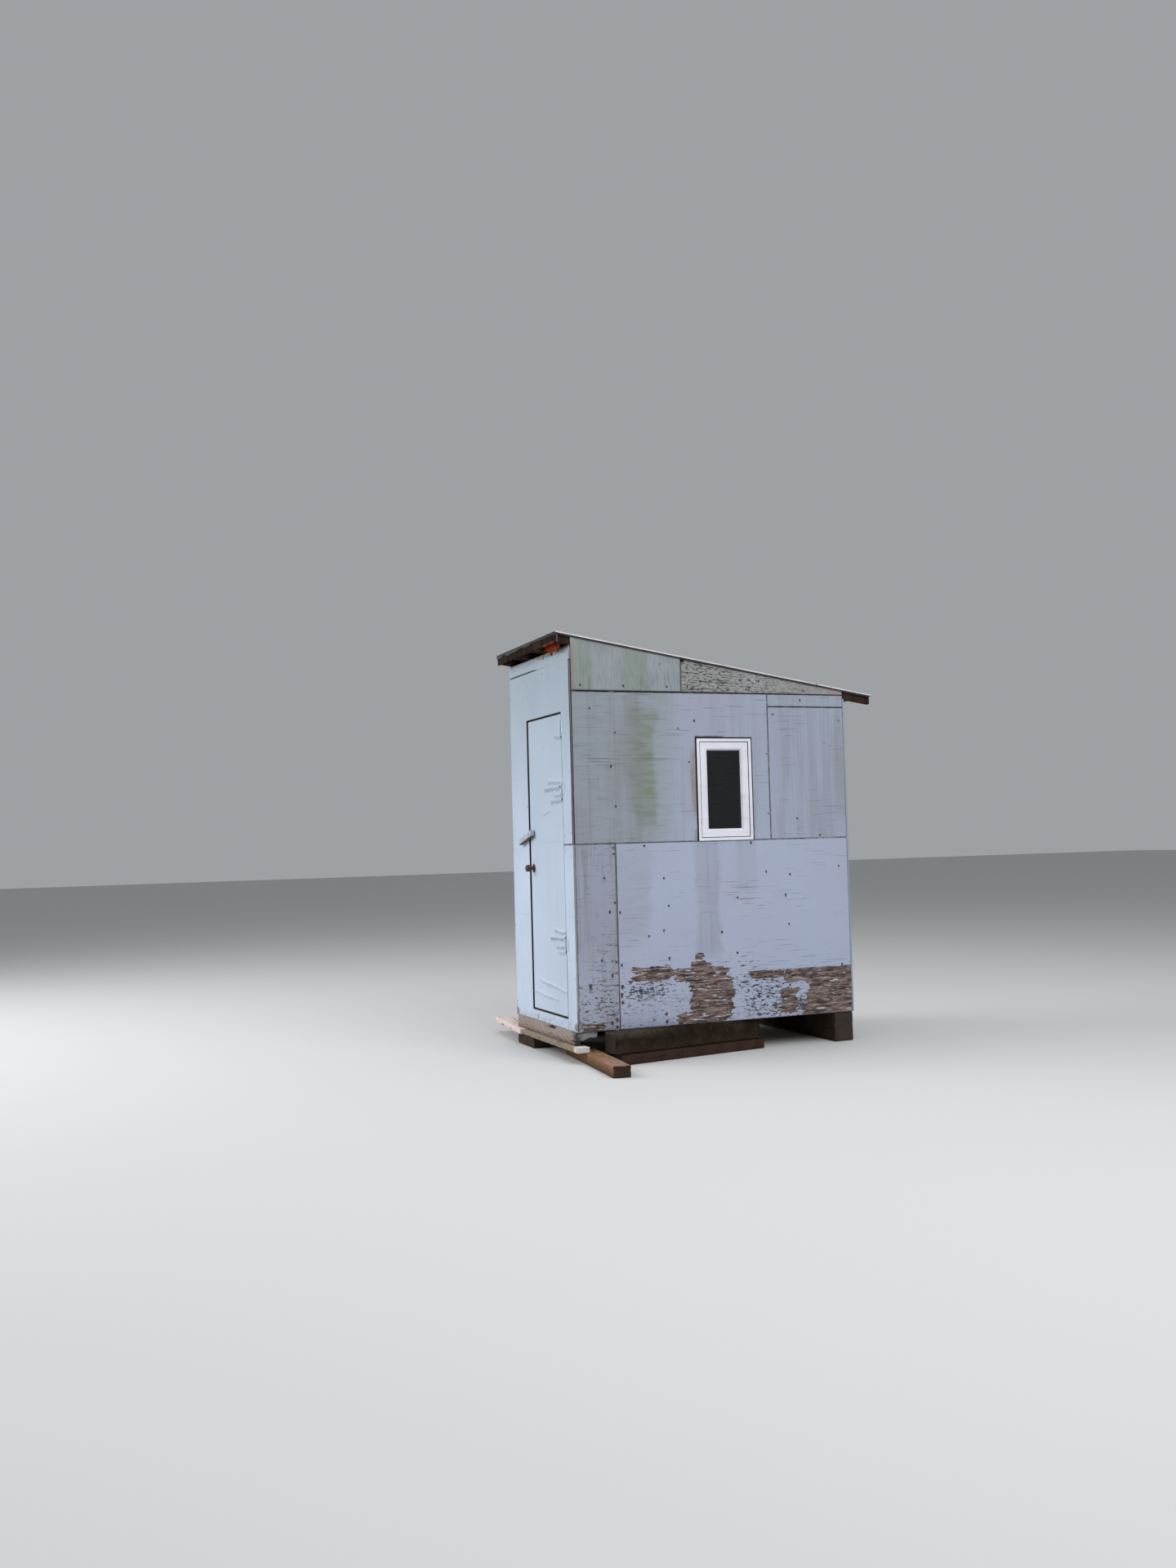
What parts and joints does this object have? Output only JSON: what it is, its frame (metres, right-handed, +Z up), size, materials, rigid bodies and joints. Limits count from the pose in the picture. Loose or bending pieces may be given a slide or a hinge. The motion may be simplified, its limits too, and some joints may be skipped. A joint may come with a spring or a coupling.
{
  "type": "plywood outhouse",
  "caption": "Narrow plywood outhouse with a pent roof, side window and hinged front door, standing on sleepers and squared timbers.",
  "frame": {"origin": "middle of the whole part's outline at the lowest ground level, under the roof's middle", "axes": "+Z up, the door's wall faces -Y, the window's wall faces +X"},
  "size_m": [2.46, 2.393, 2.8212],
  "materials": {
    "weathered_timber": "weathered sawn timber",
    "sleeper_wood": "orange-brown sawn timber",
    "dark_timber": "dark mossy timber",
    "framing_wood": "aged framing timber and bare plywood",
    "roof_wood": "stained, damp roof boards",
    "roll_roofing": "granular roll roofing",
    "rake_metal": "dull pale metal strip",
    "front_paint": "pale blue paint on plywood",
    "side_paint": "blue-grey weathered paint on plywood",
    "bare_plywood": "grey bare plywood with black specks",
    "window_vinyl": "white vinyl",
    "window_glass": "dark clear glass",
    "hinge_metal": "painted over with the wall",
    "rusty_metal": "rusty brown metal"
  },
  "bodies": {
    "hut": {"left_plank": "weathered_timber", "front_plank": "weathered_timber", "front_sill": "weathered_timber", "broken_sill": "weathered_timber", "left_block": "weathered_timber", "rear_sleeper": "weathered_timber", "right_sleeper": "sleeper_wood", "skids": "dark_timber", "ground_planks": "dark_timber", "floor_joists": "framing_wood", "floor_sheet": "framing_wood", "bottom_plates": "framing_wood", "side_studs": "framing_wood", "end_studs": "framing_wood", "window_trimmers": "framing_wood", "door_header": "framing_wood", "top_plates": "framing_wood", "door_stops": "framing_wood", "rafters": "roof_wood", "roof_deck": "roof_wood", "front_fascia": "roof_wood", "roofing": "roll_roofing", "rake_strips": "rake_metal", "front_left_sheet": "front_paint", "front_right_lower": "front_paint", "front_right_upper": "front_paint", "front_over_door": "front_paint", "front_under_door": "front_paint", "front_header_strip": "front_paint", "right_lower_strip": "side_paint", "right_lower_sheet": "side_paint", "right_upper_sheet": "side_paint", "right_rear_sheet": "side_paint", "right_rear_strip": "side_paint", "right_gable_front": "side_paint", "left_lower_sheet": "side_paint", "left_upper_sheet": "side_paint", "left_gable": "side_paint", "back_lower_sheet": "side_paint", "back_upper_sheet": "side_paint", "right_gable_rear": "bare_plywood", "window_frame": "window_vinyl", "window_sash": "window_vinyl", "window_glass": "window_glass", "jamb_hinges": "hinge_metal"},
    "door": {"door_leaf": "front_paint", "door_ledges": "framing_wood", "door_hinges": "hinge_metal", "knob_roses": "rusty_metal"},
    "knob": {"door_knob": "rusty_metal"},
    "button": {"turn_button": "front_paint"}
  },
  "joints": [
    {"name": "door_swing", "type": "hinge", "parent": "hut", "child": "door", "pos_m": [0.439, -1.112, 1.292], "axis": [0, 0, 1], "range_deg": [0, 110]},
    {"name": "knob_turn", "type": "hinge", "parent": "door", "child": "knob", "pos_m": [-0.164, -1.1065, 1.264], "axis": [0, 1, 0], "range_deg": [-60, 60], "stiffness_Nm_per_rad": 0.15},
    {"name": "button_turn", "type": "hinge", "parent": "door", "child": "button", "pos_m": [-0.17, -1.1065, 1.5], "axis": [0, 1, 0], "range_deg": [0, 104]}
  ]
}
